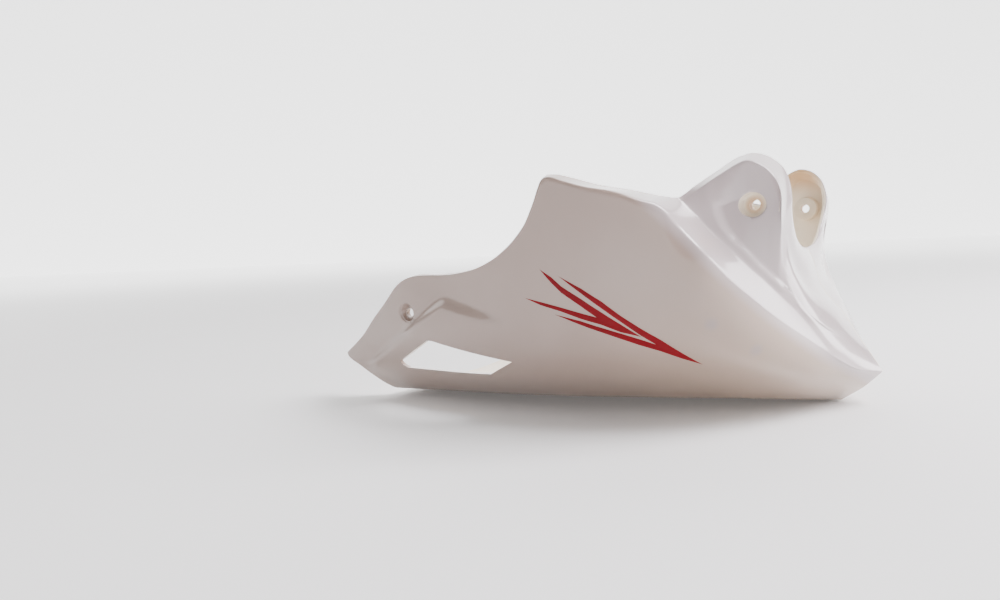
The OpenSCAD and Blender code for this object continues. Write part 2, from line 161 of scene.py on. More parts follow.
TOP = [
    (0, 5.5, 120, 37), (4, 27.5, 125, 52), (8, 45.5, 130, 67), (14, 76.5, 138, 92),
    (18, 94, 141, 100), (24, 123, 143, 101), (30, 153, 147, 105), (37, 177, 150.5, 116),
    (42, 194, 153.5, 130), (46, 204, 156, 145), (49.5, 211.5, 155.5, 159), (51, 217, 152, 159.7),
    (53, 224, 147, 157.7), (57, 238, 138, 152.8), (60, 253, 129, 149.3), (63, 266, 122, 145.7),
    (65, 276.5, 118, 143.3), (67, 280.5, 114, 145.5), (69, 283.5, 109, 149), (71, 289, 100, 154.5),
    (73, 294.5, 92, 159.5), (75, 298.5, 88, 163), (77, 303.5, 84.5, 166.5), (79, 309.5, 82, 168.7),
    (81, 314, 81, 169), (83, 320.5, 79, 167), (85, 326, 76, 163), (87, 330, 74, 158),
    (88.5, 332.5, 73.3, 151), (90, 333.7, 72.5, 143.3), (92, 333, 68.7, 134.3),
    (94, 332.3, 61, 126.2), (95.5, 331.8, 52.5, 120), (97, 331.6, 42, 114.5),
    (98.5, 331.5, 25.8, 110.2), (100, 330.4, 0, 108.3),
]

# All rows, from the keel up to the free edge
ROWS = (KEEL, STRIP, EDGE, LOW, VENT, MID, UPPER, RIM, SHOULDER, FOLD, TOP)

# Outlines on the side panel as (x, z): the opening behind the step and the two nested slashes
VENT_OUTLINE = [
    (64.5, 33.5), (103, 53), (108, 53), (171, 41), (150, 30.2), (70, 28.3), (66, 30.5),
]
OUTER_SLASH = [
    (217, 99), (230.5, 91.5), (241.5, 83.5), (251, 74.5), (261, 66), (270.5, 58.5), (279.5, 50),
    (288.5, 41.5), (278, 46), (268, 51), (258, 55), (248, 59.5), (237.5, 64), (226, 68.5),
    (210.5, 75), (226.5, 71), (238, 67), (249, 63), (259, 59), (267, 55.5), (260, 61.5),
    (250.5, 70.5), (240.5, 79.5), (230, 88.5),
]
INNER_SLASH = [
    (205, 103.5), (212, 98.5), (217.5, 93), (229.5, 85), (240, 77), (250, 69), (259.5, 61),
    (249, 64), (238.5, 69), (227, 72.5), (215, 77), (202.5, 81), (192, 85.5), (203, 83),
    (215.5, 79.5), (228, 76), (237, 73.5), (228.5, 80.5), (217, 89), (211.5, 95),
]


class Skin(Enum):
    """Material slots of a half shell."""

    PAINT = 0
    BARE = 1


class Side(Enum):
    """The two halves of the pan, each with the sign of its y."""

    LEFT = 1
    RIGHT = -1


class Edge(Enum):
    """Free edges of a half, each with the axis of the grid of points that ends there."""

    REAR = 0
    TOP = 1


class Work(Enum):
    """What a tool body does to a mesh."""

    ADD = "UNION"
    CUT = "DIFFERENCE"


class Measure(Enum):
    """How a material measures a point against a direction or another point."""

    ALONG = "DOT_PRODUCT"
    APART = "DISTANCE"


def even(end: float, step: float) -> np.ndarray:
    """Evenly spaced numbers from 0 up to and with an end."""
    return np.arange(0, end + step / 2, step)


def ramp(span: Span, value: np.ndarray) -> np.ndarray:
    """Smooth step from 0 at the start of a span to 1 at its end."""
    t = np.clip((value - span[0]) / (span[1] - span[0]), 0.0, 1.0)
    return t * t * (3 - 2 * t)


def mix(a: np.ndarray, b: np.ndarray, share: float | np.ndarray) -> np.ndarray:
    """Point at a share of the way from a to b."""
    return a * (1 - share) + b * share


def unit(v: np.ndarray) -> np.ndarray:
    """Vectors scaled to length one."""
    return v / np.maximum(np.linalg.norm(v, axis=-1, keepdims=True), TINY)


def along(row: Row, stations: np.ndarray) -> np.ndarray:
    """Smooth curve through the points of a row.

    Args:
        row: The row's points.
        stations: Where along the row to take points.

    Returns:
        One point for each station, in millimetres.
    """
    keys = np.array(row, float)
    u, p = keys[:, 0], keys[:, 1:]
    low = np.maximum(np.arange(len(u)) - 1, 0)
    high = np.minimum(np.arange(len(u)) + 1, len(u) - 1)
    slope = (p[high] - p[low]) / (u[high] - u[low])[:, None]
    i = np.clip(np.searchsorted(u, stations, side="left") - 1, 0, len(u) - 2)
    h = (u[i + 1] - u[i])[:, None]
    t = (stations - u[i])[:, None] / h
    start = (2 * t**3 - 3 * t**2 + 1) * p[i] + (t**3 - 2 * t**2 + t) * slope[i] * h
    end = (3 * t**2 - 2 * t**3) * p[i + 1] + (t**3 - t**2) * slope[i + 1] * h
    return start + end


@dataclass
class PanSurface:
    """The outer and inner skin of one half, on the side where y is positive.

    Lengths are in millimetres and a span is (start, end). Stations run forward from the rear edge,
    and places run up the control points of a column, from the keel.
    """

    wall: float = 2.8
    middle_x: float = 190.33

    # Extra control points, each as a share of the way from one row to the next
    before_crease: float = 0.92
    after_edge: float = 0.35
    after_rim: float = 0.14
    before_shoulder: float = 0.9
    in_field: tuple[float, ...] = (0.12, 0.3, 0.6)
    before_fold: float = 0.95
    before_fold_softer: float = 0.15
    after_fold: float = 0.08
    after_fold_softer: float = 0.22
    mid_ear: float = 0.5
    before_top: float = 0.85

    # Towards the nose the fold gets softer, and the skin between fold and top bows back
    soft_stations: Span = (88, 94)
    bow: float = 7.0
    bow_stations: Span = (90, 98)

    # The step that frames the opening
    step_height: float = 3.0
    step_width: float = 6.0
    step_rear: Flat = (19, 27)
    step_apex: Flat = (121, 85)
    step_front: Flat = (200, 64)
    step_start_x: Span = (14, 40)
    step_start_z: Span = (14, 34)
    step_end_x: Span = (130, 195)

    # The sunk field of the ear
    field_depth: float = 3.0
    field_low: Span = (13.0, 13.4)
    field_high: Span = (16.6, 18.0)
    field_rear: Span = (67, 73)
    field_front: Span = (88, 93)
    shallow_share: float = 0.5
    shallow_z: Span = (137, 158)
    lip_width: float = 3.8
    lip_growth: float = 3.0
    lip_growth_z: Span = (137, 143)
    lip_span: Span = (-0.5, 0.5)
    lip_line: tuple[Flat, ...] = (
        (331, 86.5), (324.5, 94.5), (318.3, 102.6), (312.3, 110.5), (307, 116.7), (302, 124.6),
        (298.8, 133), (298, 137.5), (306, 147), (312, 160),
    )

    # The coarse grid on which the wall's direction is blended, and how far the blend reaches
    coarse_column: float = 2.0
    coarse_row: float = 0.5
    blend_columns: int = 2
    blend_rows: int = 8
    blend_reach: float = 12.0

    def controls(self, stations: np.ndarray) -> np.ndarray:
        """Control points of the columns.

        Args:
            stations: Places of the columns.

        Returns:
            Points by control point, from the keel up to the free edge, and by column.
        """
        keel, strip, edge, low, vent, mid, upper, rim, shoulder, fold, top = (
            along(row, stations) for row in ROWS
        )
        none = np.zeros_like(stations)
        bow = np.stack([self.bow * ramp(self.bow_stations, stations), none, none], 1)
        soft = ramp(self.soft_stations, stations)[:, None]
        return np.stack([
            keel,
            strip,
            mix(strip, edge, self.before_crease),
            edge,
            mix(edge, low, self.after_edge),
            low,
            vent,
            mid,
            upper,
            mix(upper, rim, self.before_crease),
            rim,
            mix(rim, shoulder, self.after_rim),
            mix(rim, shoulder, self.before_shoulder),
            shoulder,
            *(mix(shoulder, fold, share) for share in self.in_field),
            mix(shoulder, fold, self.before_fold - self.before_fold_softer * soft),
            fold,
            mix(fold, top, self.after_fold + self.after_fold_softer * soft),
            mix(fold, top, self.mid_ear) - bow,
            mix(fold, top, self.before_top),
            top,
        ])

    def below(self, p: np.ndarray, a: Flat, b: Flat) -> np.ndarray:
        """Distance of points below the line from a to b, seen from the side."""
        across = (b[0] - a[0]) * (a[1] - p[..., 2]) - (b[1] - a[1]) * (a[0] - p[..., 0])
        return across / math.hypot(b[0] - a[0], b[1] - a[1])

    def lift(self, p: np.ndarray) -> np.ndarray:
        """How far the step that frames the opening lifts the panel.

        Args:
            p: Points of the skin.

        Returns:
            One distance for each point.
        """
        x, z = p[..., 0], p[..., 2]
        rear = ramp((0, self.step_width), self.below(p, self.step_rear, self.step_apex))
        front = ramp((0, self.step_width), self.below(p, self.step_apex, self.step_front))
        fade = (1 - ramp(self.step_end_x, x)) * ramp(self.step_start_z, z) * ramp(self.step_start_x, x)
        return self.step_height * rear * front * fade

    def beside(self, p: np.ndarray, line: Outline) -> np.ndarray:
        """How far points lie in front of a line that runs upwards, seen from the side.

        Args:
            p: Points of the skin.
            line: Corners of the line as (x, z).

        Returns:
            One distance for each point, below zero behind the line.
        """
        side = p[..., [0, 2]]
        nearest, signed = np.full(side.shape[:-1], np.inf), np.zeros(side.shape[:-1])
        for start, end in zip(np.array(line[:-1], float), np.array(line[1:], float)):
            way = end - start
            share = np.clip((side - start) @ way / (way @ way), 0, 1)
            gap = side - start - share[..., None] * way
            distance = np.linalg.norm(gap, axis=-1)
            front = np.sign(gap[..., 0] * way[1] - gap[..., 1] * way[0])
            signed = np.where(distance < nearest, distance * front, signed)
            nearest = np.minimum(distance, nearest)
        return signed

    def sink(self, p: np.ndarray, stations: np.ndarray, places: np.ndarray) -> np.ndarray:
        """How deep the field of the ear lies under its frame, behind a short sloping lip.

        Args:
            p: Points of the skin by column and row.
            stations: Places of the columns.
            places: Places of the rows.

        Returns:
            One depth for each point.
        """
        z = p[..., 2]
        width = self.lip_width * (1 + self.lip_growth * ramp(self.lip_growth_z, z))
        across = ramp(self.lip_span, self.beside(p, self.lip_line) / width)
        depth = self.field_depth * (1 - self.shallow_share * ramp(self.shallow_z, z))
        by_row = ramp(self.field_low, places) * (1 - ramp(self.field_high, places))
        by_column = ramp(self.field_rear, stations) * (1 - ramp(self.field_front, stations))
        return depth * across * by_row * by_column[:, None]

    def outer(self, stations: np.ndarray, places: np.ndarray) -> np.ndarray:
        """Outer skin.

        Args:
            stations: Places of the columns.
            places: Places of the rows, in control points from the keel.

        Returns:
            Points in millimetres, by column and row.
        """
        c = self.controls(stations)
        c = np.concatenate([[2 * c[0] - c[1]], c, [2 * c[-1] - c[-2]]])
        i = np.minimum(np.floor(places).astype(int), len(c) - 4)
        t = (places - i)[:, None, None]
        p = (
            (1 - t) ** 3 / 6 * c[i]
            + (3 * t**3 - 6 * t**2 + 4) / 6 * c[i + 1]
            + (-3 * t**3 + 3 * t**2 + 3 * t + 1) / 6 * c[i + 2]
            + t**3 / 6 * c[i + 3]
        ).transpose(1, 0, 2)
        p[..., 1] += self.lift(p) - self.sink(p, stations, places)
        p[..., 2] = np.maximum(p[..., 2], 0)
        return p

    def square_to(self, p: np.ndarray) -> np.ndarray:
        """Directions square to a grid of points.

        Args:
            p: Points by column and row.

        Returns:
            Unit vectors that point outwards, by column and row.
        """
        along_u, along_v = np.gradient(p, axis=0), np.gradient(p, axis=1)
        n = unit(np.cross(along_v, along_u))
        # Where the keel ends in front, both ways lie in the centre plane, so a point above it counts
        n[-1, 0] = n[-1, 2]
        return n

    def wall_direction(self, stations: np.ndarray, places: np.ndarray) -> np.ndarray:
        """Directions in which the wall gets its thickness, blended so that it turns round the edges.

        Args:
            stations: Places of the columns.
            places: Places of the rows.

        Returns:
            Unit vectors that point outwards, by column and row.
        """
        coarse_u = even(LAST_STATION, self.coarse_column)
        coarse_v = even(LAST_PLACE, self.coarse_row)
        p = self.outer(coarse_u, coarse_v)
        n = self.square_to(p)
        total = np.zeros_like(n)
        columns, rows = np.arange(len(coarse_u)), np.arange(len(coarse_v))
        for k in range(-self.blend_columns, self.blend_columns + 1):
            near_u = np.clip(columns + k, 0, columns[-1])
            for m in range(-self.blend_rows, self.blend_rows + 1):
                near_v = np.clip(rows + m, 0, rows[-1])
                q = p[near_u][:, near_v]
                weight = np.maximum(1 - np.linalg.norm(q - p, axis=2) / self.blend_reach, 0)
                total += n[near_u][:, near_v] * weight[..., None]
        total = unit(total)
        by_u = np.stack([
            [np.interp(stations, coarse_u, total[:, j, c]) for j in range(len(coarse_v))] for c in range(3)
        ])
        out = np.stack([
            [np.interp(places, coarse_v, by_u[c, :, i]) for i in range(len(stations))] for c in range(3)
        ], axis=-1)
        return unit(out)

    def to_frame(self, p: np.ndarray) -> np.ndarray:
        """Millimetres from the rear tip to metres in the frame."""
        return (p - np.array([self.middle_x, 0, 0])) * MM


def select_only(obj: bpy.types.Object) -> None:
    """Make an object the only selected and the active one.

    Args:
        obj: The object.
    """
    bpy.ops.object.select_all(action="DESELECT")
    obj.select_set(True)
    bpy.context.view_layer.objects.active = obj


def apply_modifiers(obj: bpy.types.Object) -> None:
    """Apply an object's modifiers in their order.

    Args:
        obj: The object.
    """
    select_only(obj)
    for modifier in list(obj.modifiers):
        bpy.ops.object.modifier_apply(modifier=modifier.name)


def outwards(obj: bpy.types.Object) -> None:
    """Make the faces of a closed mesh point outwards.

    Args:
        obj: The object with the mesh.
    """
    select_only(obj)
    bpy.ops.object.mode_set(mode="EDIT")
    bpy.ops.mesh.select_all(action="SELECT")
    bpy.ops.mesh.normals_make_consistent(inside=False)
    bpy.ops.object.mode_set(mode="OBJECT")


def combine(target: bpy.types.Object, tool: bpy.types.Object, work: Work) -> None:
    """Add a tool body to a mesh or cut it out, and delete the tool.

    Args:
        target: The mesh that is changed.
        tool: The closed mesh that is used.
        work: What the tool does.
    """
    modifier = target.modifiers.new(work.value.lower(), "BOOLEAN")
    modifier.operation = work.value
    modifier.solver = "MANIFOLD"
    modifier.object = tool
    apply_modifiers(target)
    bpy.data.objects.remove(tool, do_unlink=True)


def join(objects: list[bpy.types.Object]) -> bpy.types.Object:
    """Several separate closed bodies as one mesh.

    Args:
        objects: The bodies.

    Returns:
        The first body, which now holds them all.
    """
    bpy.ops.object.select_all(action="DESELECT")
    for obj in objects:
        obj.select_set(True)
    bpy.context.view_layer.objects.active = objects[0]
    bpy.ops.object.join()
    return objects[0]


def smooth(obj: bpy.types.Object) -> None:
    """Shade an object smooth where its faces meet at less than the smooth angle."""
    select_only(obj)
    bpy.ops.object.shade_smooth_by_angle(angle=math.radians(SMOOTH_ANGLE))


def dress(obj: bpy.types.Object, materials: Sequence[bpy.types.Material]) -> None:
    """Give an object its materials, slot by slot.

    Args:
        obj: The object.
        materials: One material for each slot.
    """
    obj.data.materials.clear()
    for material in materials:
        obj.data.materials.append(material)


def mesh_object(name: str, points: np.ndarray, faces: list[tuple[int, ...]]) -> bpy.types.Object:
    """A new mesh object at the origin.

    Args:
        name: Name of the object.
        points: Its points, in metres.
        faces: Corners of each face.

    Returns:
        The new object.
    """
    mesh = bpy.data.meshes.new(name)
    mesh.from_pydata([tuple(p) for p in points], [], faces)
    mesh.update()
    obj = bpy.data.objects.new(name, mesh)
    bpy.context.scene.collection.objects.link(obj)
    return obj


def prism(name: str, outline: Outline, from_to: Span) -> bpy.types.Object:
    """A closed body with the same outline from one distance to another.

    Args:
        name: Name of the object.
        outline: Corners as (x, z), in millimetres in the frame.
        from_to: Lower and upper distance from the centre plane.

    Returns:
        The new object.
    """
    n = len(outline)
    points = [(x, y, z) for y in from_to for x, z in outline]
    faces = [tuple(range(n)), tuple(range(2 * n - 1, n - 1, -1))]
    faces += [(k, k + n, (k + 1) % n + n, (k + 1) % n) for k in range(n)]
    obj = mesh_object(name, np.array(points) * MM, faces)
    outwards(obj)
    return obj


def turned(name: str, profile: Profile, place: Vector, axis: Vector,
           segments: int = 64) -> bpy.types.Object:
    """A turned body, drawn out ring by ring from its first face.

    Args:
        name: Name of the object.
        profile: Radius and distance along the axis of each ring, in millimetres.
        place: Where distance 0 lies, in metres.
        axis: Direction of the distances.
        segments: Corners of a ring.

    Returns:
        The new object.
    """
    bpy.ops.object.select_all(action="DESELECT")
    radius, height = profile[0]
    bpy.ops.mesh.primitive_circle_add(
        vertices=segments, radius=radius * MM, fill_type="NGON", location=(0, 0, height * MM)
    )
    obj = bpy.context.active_object
    obj.name = name
    bpy.ops.object.transform_apply(location=True, rotation=True, scale=True)
    bpy.ops.object.mode_set(mode="EDIT")
    bpy.ops.mesh.select_all(action="SELECT")
    for next_radius, next_height in profile[1:]:
        bpy.ops.mesh.extrude_region_move(
            TRANSFORM_OT_translate={"value": (0, 0, (next_height - height) * MM)}
        )
        share = next_radius / radius
        bpy.ops.transform.resize(value=(share, share, 1), center_override=(0, 0, next_height * MM))
        radius, height = next_radius, next_height
    bpy.ops.object.mode_set(mode="OBJECT")
    obj.data.transform(Matrix.Translation(place) @ axis.to_track_quat("Z", "Y").to_matrix().to_4x4())
    outwards(obj)
    return obj


@dataclass
class HalfShell:
    """One moulded half with its boss, pad, tabs and openings, and its mirrored partner.

    Lengths are in millimetres and angles in degrees, edge_reach counts edge radii and seam_row counts
    chamfers. A profile gives the radius of each ring and its distance along the axis, from the inside
    outwards, with distance 0 at the bolt's point on the outer skin. The direction towards a free edge
    is taken from a point edge_look away from it.
    """

    slots: tuple[bpy.types.Material, bpy.types.Material]
    surface: PanSurface = field(default_factory=PanSurface)
    column_step: float = 0.5
    rows_in_span: tuple[int, ...] = (4, 3, 2, 3, 3, 6, 8, 10, 8, 4, 4, 6, 3, 8, 14, 16, 10, 4, 4, 5, 4, 3)

    # Round free edges, and the chamfered seam on the centre plane
    edge_radius: float = 0.8
    edge_angles: tuple[float, ...] = (30, 60, 90)
    edge_look: float = 1.5
    edge_reach: float = 3.0
    seam_chamfer: float = 0.6
    seam_row: float = 1.2
    seam_gap: float = 0.2

    # The two bolts of a half, and the directions square to the outer skin there
    front_bolt: Spot = (316, 96.7, 137)
    front_square: Spot = (0.354, 0.933, -0.065)
    rear_bolt: Spot = (84, 146, 72)
    rear_square: Spot = (-0.147, 0.981, -0.131)
    bolt_hole_d: float = 6.6
    front_hole_end: float = -20.0
    rear_hole_end: float = -16.0
    boss: Profile = ((8.1, -14.7), (8.6, -14.5), (8.8, -14.1), (10.4, 5.3))
    recess: Profile = ((6.4, -5.2), (6.7, -5.1), (6.85, -4.7), (7.5, 0), (8.6, 12))
    front_lip: Profile = ((7.1, -1.7), (7.4, -1.1), (7.8, -0.75), (8.3, -0.5), (8.9, -0.3))
    pad: Profile = ((7.5, -8), (7.9, -7.8), (8.1, -7.4), (9.5, 2))
    seat: Profile = ((4.2, -4.2), (7.0, 0), (8.3, 2))
    rear_lip: Profile = ((6.5, -0.9), (6.9, -0.45), (7.6, -0.02), (8.3, 0.3))

    # The opening, and the tabs that join the halves
    vent_y: Span = (100, 175)
    tab_thickness: float = 3.0
    tabs: tuple[tuple[Flat, ...], ...] = (
        ((335, 87), (339.4, 78.5), (344, 70.8), (331, 63), (322.5, 79)),
        ((359, 49.5), (366, 38.2), (354, 30.5), (346.5, 42)),
        ((90, 1.4), (106, 1.4), (106, 17), (90, 17)),
        ((230, 1.4), (246, 1.4), (246, 17), (230, 17)),
    )
    screw_axes: tuple[Flat, ...] = ((331.5, 75), (356, 40), (98, 10), (238, 10))
    screw_hole_d: float = 5.4
    screw_hole_y: Span = (-6, 8)
    screw_segments: int = 32

    def pulled_back(self, p: np.ndarray, edge: Edge) -> tuple[np.ndarray, np.ndarray]:
        """Move the last few points of a skin back from a free edge, to make room for a round edge.

        Args:
            p: Points by column and row.
            edge: The free edge.

        Returns:
            The moved points, and the direction towards the edge at each of its points.
        """
        q = np.moveaxis(p, edge.value, 0)
        q = q[::-1] if edge is Edge.TOP else q
        distance = np.linalg.norm(q - q[:1], axis=-1)
        pick = np.argmax(distance > self.edge_look, axis=0)
        inside = np.take_along_axis(q, pick[None, :, None], axis=0)
        ahead = unit(q[:1] - inside)
        moved = self.edge_radius + distance * (self.edge_reach - 1) / self.edge_reach
        back = np.where(distance < self.edge_reach * self.edge_radius, moved - distance, 0)
        q = q - back[..., None] * ahead
        q = q[::-1] if edge is Edge.TOP else q
        return np.moveaxis(q, 0, edge.value), ahead[0]

    def with_seam(self, p: np.ndarray, drop: np.ndarray) -> np.ndarray:
        """Add a narrow strip along the centre plane, whose far edge drops to make a chamfer.

        Args:
            p: Points by column and row.
            drop: How far each point drops where it is on that edge.

        Returns:
            The points with one more column and one more row.
        """
        inset = self.seam_chamfer * self.seam_row
        column = p[-1] + inset * unit(p[-2] - p[-1])
        last = p[-1] - drop[-1]
        last[:, 1] = 0
        p = np.concatenate([p[:-1], [column], [last]])
        row = p[:, :1] + inset * unit(p[:, 1:2] - p[:, :1])
        first = p[:, :1] - np.concatenate([drop, drop[-1:]])[:, :1]
        first[..., 1] = 0
        return np.concatenate([first, row, p[:, 1:]], axis=1)

    def skins(self) -> tuple[np.ndarray, np.ndarray, np.ndarray]:
        """Both skins of the wall, without their free edges.

        Returns:
            The outer skin, the inner skin, and the direction towards the top edge in each column.
        """
        stations = even(LAST_STATION, self.column_step)
        spans = [i + np.arange(n) / n for i, n in enumerate(self.rows_in_span)]
        places = np.concatenate([*spans, [LAST_PLACE]])
        outer = self.surface.outer(stations, places)
        way = self.surface.wall_direction(stations, places)
        inner = outer - self.surface.wall * way
        inner[:-1, 1:, 1] = np.maximum(inner[:-1, 1:, 1], self.seam_gap)
        inner[:, 0, 1] = 0
        inner[-1, :, 1] = 0
        outer, ahead_outer = self.pulled_back(outer, Edge.TOP)
        inner, ahead_inner = self.pulled_back(inner, Edge.TOP)
        outer, _ = self.pulled_back(outer, Edge.REAR)
        inner, _ = self.pulled_back(inner, Edge.REAR)
        outer = self.with_seam(outer, self.seam_chamfer * way)
        inner = self.with_seam(inner, np.zeros_like(inner))
        ahead = unit(ahead_outer + ahead_inner)
        return outer, inner, np.concatenate([ahead, ahead[-1:]])

    def edge_caps(self, outer: np.ndarray, inner: np.ndarray, ahead: np.ndarray) -> list[np.ndarray]:
        """Lines of points round the top edge.

        Args:
            outer: Points of the outer skin at the edge.
            inner: Points of the inner skin at the edge.
            ahead: Direction towards the edge in each column.

        Returns:
            The lines, from the outer to the inner skin.
        """
        across = unit(outer - inner)
        r = self.edge_radius
        caps = []
        for side, start, angles in ((1, outer, self.edge_angles), (-1, inner, self.edge_angles[::-1])):
            for a in map(math.radians, angles):
                caps.append(start + r * math.sin(a) * ahead - side * r * (1 - math.cos(a)) * across)
        return caps

    def rings(self) -> tuple[np.ndarray, int]:
        """Closed rings round the wall, one for each column, with the round rear edge first.

        Returns:
            Points by ring and place in the ring, and the place at which the outer skin ends.
        """
        outer, inner, ahead = self.skins()
        caps = self.edge_caps(outer[:, -1], inner[:, -1], ahead)
        rings = np.concatenate([outer, np.stack(caps, 1), inner[:, ::-1]], axis=1)
        rear = unit(rings[0] - rings[2])
        outward = unit(rings[0] - rings[0][::-1])
        rounds = [
            rings[0] + self.edge_radius * (math.sin(a) * rear - (1 - math.cos(a)) * outward)
            for a in map(math.radians, self.edge_angles[::-1])
        ]
        return np.concatenate([np.stack(rounds), rings]), outer.shape[1] + len(caps) // 2 - 1

    def shell(self) -> bpy.types.Object:
        """The closed wall of one half, with round free edges and a small chamfer along the seam.

        Returns:
            The new object, with its faces in the two material slots.
        """
        rings, outside_end = self.rings()
        count, size = rings.shape[:2]
        faces, bare = [], []
        for i in range(count - 1):
            for j in range(size):
                k = (j + 1) % size
                faces.append((i * size + j, i * size + k, (i + 1) * size + k, (i + 1) * size + j))
                on_chamfer = j == 0 or i == count - 2
                bare.append(j >= outside_end or on_chamfer)
        for base, at_rear in ((0, True), ((count - 1) * size, False)):
            for j in range(size // 2 - 1):
                face = (base + j, base + j + 1, base + size - 2 - j, base + size - 1 - j)
                faces.append(face[::-1] if at_rear else face)
                bare.append(not at_rear)
        obj = mesh_object("half", self.surface.to_frame(rings.reshape(-1, 3)), faces)
        dress(obj, self.slots)
        obj.data.polygons.foreach_set("material_index", np.array(bare, np.int32))
        outwards(obj)
        return obj

    def place(self, point: Spot) -> Vector:
        """A point of the tables in the frame."""
        return Vector(self.surface.to_frame(np.array(point)))

    def plate(self, name: str, outline: Outline, from_to: Span) -> bpy.types.Object:
        """A prism whose outline is measured from the rear tip."""
        return prism(name, [(x - self.surface.middle_x, z) for x, z in outline], from_to)

    def in_slots(self, obj: bpy.types.Object, skin: Skin) -> bpy.types.Object:
        """Give a body the half's two materials and put all its faces in one slot.

        Args:
            obj: The body.
            skin: The slot.

        Returns:
            The same body.
        """
        dress(obj, self.slots)
        obj.data.polygons.foreach_set("material_index", [skin.value] * len(obj.data.polygons))
        return obj

    def trim(self, obj: bpy.types.Object, at: Spot, square: Spot) -> None:
        """Cut a body off half a wall under the outer skin.

        Args:
            obj: The body.
            at: The bolt's point on the outer skin.
            square: The direction square to the skin there.
        """
        normal = Vector(square).normalized()
        select_only(obj)
        bpy.ops.object.mode_set(mode="EDIT")
        bpy.ops.mesh.select_all(action="SELECT")
        bpy.ops.mesh.bisect(
            plane_co=self.place(at) - normal * self.surface.wall / 2 * MM, plane_no=normal, use_fill=True,
            clear_outer=True,
        )
        bpy.ops.object.mode_set(mode="OBJECT")
        outwards(obj)

    def additions(self) -> bpy.types.Object:
        """Boss, pad and joining tabs of one half.

        Returns:
            All of them as one mesh.
        """
        boss = turned("boss", self.boss, self.place(self.front_bolt), OUT)
        pad = turned("pad", self.pad, self.place(self.rear_bolt), OUT)
        self.trim(boss, self.front_bolt, self.front_square)
        self.trim(pad, self.rear_bolt, self.rear_square)
        tabs = [self.plate("tab", outline, (0, self.tab_thickness)) for outline in self.tabs]
        return join([self.in_slots(tool, Skin.BARE) for tool in (boss, pad, *tabs)])

    def with_hole(self, sink: Profile, hole_end: float) -> Profile:
        """The profile of a sink with the bolt's hole behind it."""
        radius = self.bolt_hole_d / 2
        return ((radius, hole_end), (radius, sink[0][1]), *sink)

    def cutters(self) -> bpy.types.Object:
        """Bodies that cut the opening, the sinks and the holes.

        Returns:
            All of them as one mesh.
        """
        front, rear = self.place(self.front_bolt), self.place(self.rear_bolt)
        recess = turned("recess", self.with_hole(self.recess, self.front_hole_end), front, OUT)
        seat = turned("seat", self.with_hole(self.seat, self.rear_hole_end), rear, OUT)
        vent = self.plate("vent", VENT_OUTLINE, self.vent_y)
        hole = tuple((self.screw_hole_d / 2, y) for y in self.screw_hole_y)
        holes = [
            turned("screw_hole", hole, self.place((x, 0, z)), OUT, self.screw_segments)
            for x, z in self.screw_axes
        ]
        painted = [self.in_slots(tool, Skin.PAINT) for tool in (seat, vent)]
        bare = [self.in_slots(tool, Skin.BARE) for tool in (recess, *holes)]
        return join(painted + bare)

    def lips(self) -> bpy.types.Object:
        """Shallow flares that round the mouths of the two sinks.

        Returns:
            Both as one mesh.
        """
        flares = [
            turned(name, profile, self.place(bolt), Vector(square).normalized())
            for name, profile, bolt, square in (
                ("front_lip", self.front_lip, self.front_bolt, self.front_square),
                ("rear_lip", self.rear_lip, self.rear_bolt, self.rear_square),
            )
        ]
        return join([self.in_slots(tool, Skin.PAINT) for tool in flares])

    def keep_in_box(self, obj: bpy.types.Object) -> None:
        """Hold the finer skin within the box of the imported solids.

        Args:
            obj: The half.
        """
        points = np.empty(len(obj.data.vertices) * 3)
        obj.data.vertices.foreach_get("co", points)
        points = np.clip(points.reshape(-1, 3), CAD_BOX[0], CAD_BOX[1])
        obj.data.vertices.foreach_set("co", points.ravel())
        obj.data.update()

    def build(self, name: str) -> bpy.types.Object:
        """Build the finished left half.

        Args:
            name: Name of the object.

        Returns:
            The new object.
        """
        half = self.shell()
        half.name = name
        tools = (self.additions(), self.cutters(), self.lips())
        for tool, work in zip(tools, (Work.ADD, Work.CUT, Work.CUT)):
            combine(half, tool, work)
        self.keep_in_box(half)
        return half

    def mirrored(self, half: bpy.types.Object, name: str) -> bpy.types.Object:
        """The other half, with a mesh of its own.

        Args:
            half: The finished left half.
            name: Name of the new object.

        Returns:
            The new object.
        """
        twin = half.copy()
        twin.data = half.data.copy()
        twin.name = name
        bpy.context.scene.collection.objects.link(twin)
        twin.data.transform(Matrix.Scale(-1, 4, OUT))
        twin.data.flip_normals()
        return twin


